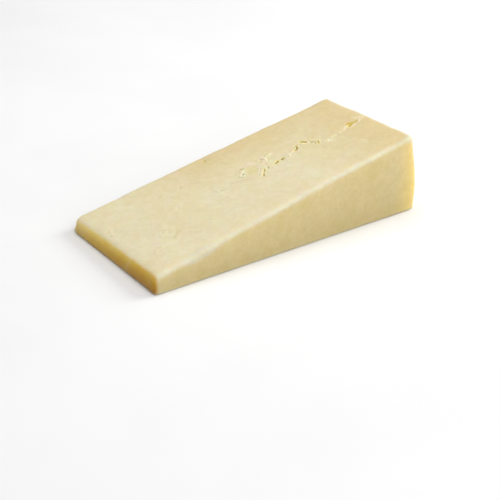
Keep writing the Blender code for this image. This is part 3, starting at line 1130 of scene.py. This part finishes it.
def face_colour(tree, clouds):
    """Colour of the top, the sides, the tip and the edges, with painted shade, glow and highlight."""
    top = mix_colour(tree, clouds, linear(TOP_BUTTER), linear(TOP_CREAM))
    top = mix_colour(tree, mask_of(tree, "mellow", MELLOW_SHARE), top, linear(TOP_MELLOW))
    # The sides are painted in shade, deeper than the top and darker still towards the foot
    side = mix_colour(tree, clouds, linear(SHADED_SIDE_STRAW), linear(SHADED_SIDE_YELLOW))
    side = mix_colour(tree, mask_of(tree, "foot", FOOT_SHARE), side, linear(FOOT_SHADE_OCHRE))
    # A painted glow near the thick end
    side = mix_colour(tree, mask_of(tree, "painted_end_glow", GLOW_SHARE), side, linear(PAINTED_END_GLOW))
    colour = mix_colour(tree, mask_of(tree, "on_side"), top, side)

    # The tip's face is painted in shade, deeper at its front and at its foot
    tip = mix_colour(tree, mask_of(tree, "tip_front"), shaded_tip_ramp(tree, SHADED_TIP_BACK), shaded_tip_ramp(tree, SHADED_TIP_FRONT))
    amber = place_group(tree, cloudy_patches, Patch_size=9.0, Seed=6.0)
    tip = tint(tree, maths(tree, "MULTIPLY", amber, AMBER_SHARE), tip, linear(TIP_AMBER_TINT))
    colour = mix_colour(tree, mask_of(tree, "on_shaded_tip"), colour, tip)
    # The upper edges turn pale, partly rubbed and partly a painted highlight
    return mix_colour(tree, mask_of(tree, "on_edge", EDGE_SHARE), colour, linear(EDGE_CREAM_AND_HIGHLIGHT))


print("colours of the tip's face:", len(SHADED_TIP_BACK) + len(SHADED_TIP_FRONT))

# %% [markdown]
# ## Colours of the marks, the fissure and the curds
# The fissure lies on top of everything, so its layers come after the faces, from the
# faintest mark to the deepest pit. Last, two sizes of small patches tint the whole cheese
# a little, a bit more on the sides, as the curds do that lie just under the surface.

# %% Mix the colours of the fissure and the curds
# Masks with their colours and strengths, lowest layer first
FISSURE_LAYERS = (
    ("painted_light_marks", (0.950, 0.910, 0.790), 0.8),
    ("painted_shade_marks", (0.860, 0.800, 0.630), 0.8),
    ("in_eye", (0.905, 0.866, 0.672), 0.8),
    ("on_lip", (0.960, 0.895, 0.620), 0.65),
    # The pores carry painted shade; the hollow and the pits carry fresh curd's stronger yellow with
    # painted shade in them
    ("in_pore", (0.720, 0.670, 0.500), 0.9),
    ("on_crumb", (0.975, 0.945, 0.845), 0.9),
    ("in_hollow", (0.850, 0.752, 0.300), 1.0),
    ("in_pit", (0.752, 0.697, 0.335), 1.0),
)
CURD_TINT = (0.945, 0.925, 0.820)
CURD_PATCHES = (
    # size of the patches in millimetres, seed and strength
    (4.6, 4.0, 0.27),
    (1.9, 5.0, 0.28),
)
# How much stronger the patches show on the sides than on the top
SIDE_CURDS = 0.15


def with_fissure(tree, colour):
    for name, layer_colour, strength in FISSURE_LAYERS:
        colour = mix_colour(tree, mask_of(tree, name, strength), colour, linear(layer_colour))
    return colour


def with_curds(tree, colour):
    on_sides = maths(tree, "ADD", 1.0, mask_of(tree, "on_side", SIDE_CURDS))
    for patch_size, seed, strength in CURD_PATCHES:
        patches = place_group(tree, cloudy_patches, Patch_size=patch_size, Seed=seed)
        patches = maths(tree, "MULTIPLY", patches, maths(tree, "MULTIPLY", on_sides, strength))
        colour = tint(tree, patches, colour, linear(CURD_TINT))
    return colour


print("layers of the fissure:", len(FISSURE_LAYERS))

# %% [markdown]
# ## The cheese's material
# Cheese is lit from within: light enters, scatters among fat and protein, and comes out
# again a little yellower. Subsurface scattering does that, and its radius is largest for red
# and smallest for blue, so thin and shaded places turn warm by themselves. The clouds that
# vary the colour vary the gloss as well, and the fine grain gives the bump.

# %% Put the material together
LARGE_CLOUD_SHARE = 0.6
GLOSS_RANGE = (0.40, 0.52)


def large_and_small_clouds(tree):
    large = place_group(tree, cloudy_patches, Patch_size=24.0, Seed=1.0)
    small = place_group(tree, cloudy_patches, Patch_size=7.0, Seed=2.0)
    large_part = maths(tree, "MULTIPLY", large, LARGE_CLOUD_SHARE)
    return maths(tree, "ADD", large_part, maths(tree, "MULTIPLY", small, 1 - LARGE_CLOUD_SHARE))


def cheddar_material():
    material = bpy.data.materials.new("cut_cheddar")
    material.use_nodes = True
    tree = material.node_tree
    shader = tree.nodes["Principled BSDF"]
    clouds = large_and_small_clouds(tree)
    colour = with_curds(tree, with_fissure(tree, face_colour(tree, clouds)))
    tree.links.new(colour, shader.inputs["Base Color"])

    gloss = {"Value": clouds, "To Min": GLOSS_RANGE[0], "To Max": GLOSS_RANGE[1]}
    roughness = add_node(tree, "ShaderNodeMapRange", gloss)
    tree.links.new(roughness.outputs["Result"], shader.inputs["Roughness"])
    grain = place_group(tree, fine_grain, Grain_size=0.7, Pores=0.4)
    bump = add_node(tree, "ShaderNodeBump", {"Height": grain, "Strength": 0.35, "Distance": 0.00006})
    tree.links.new(bump.outputs["Normal"], shader.inputs["Normal"])

    shader.inputs["Subsurface Weight"].default_value = 0.85
    shader.inputs["Subsurface Radius"].default_value = (1.0, 0.62, 0.22)
    shader.inputs["Subsurface Scale"].default_value = 0.0042
    shader.inputs["IOR"].default_value = 1.45
    shader.inputs["Specular IOR Level"].default_value = 0.45
    return material


cheese.data.materials.clear()
cheese.data.materials.append(cheddar_material())
cheese.data.shade_smooth()
print("material:", cheese.data.materials[0].name)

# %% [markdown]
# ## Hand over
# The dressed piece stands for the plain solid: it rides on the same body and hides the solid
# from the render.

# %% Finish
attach(cheese, "root")
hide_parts("cheddar_wedge")
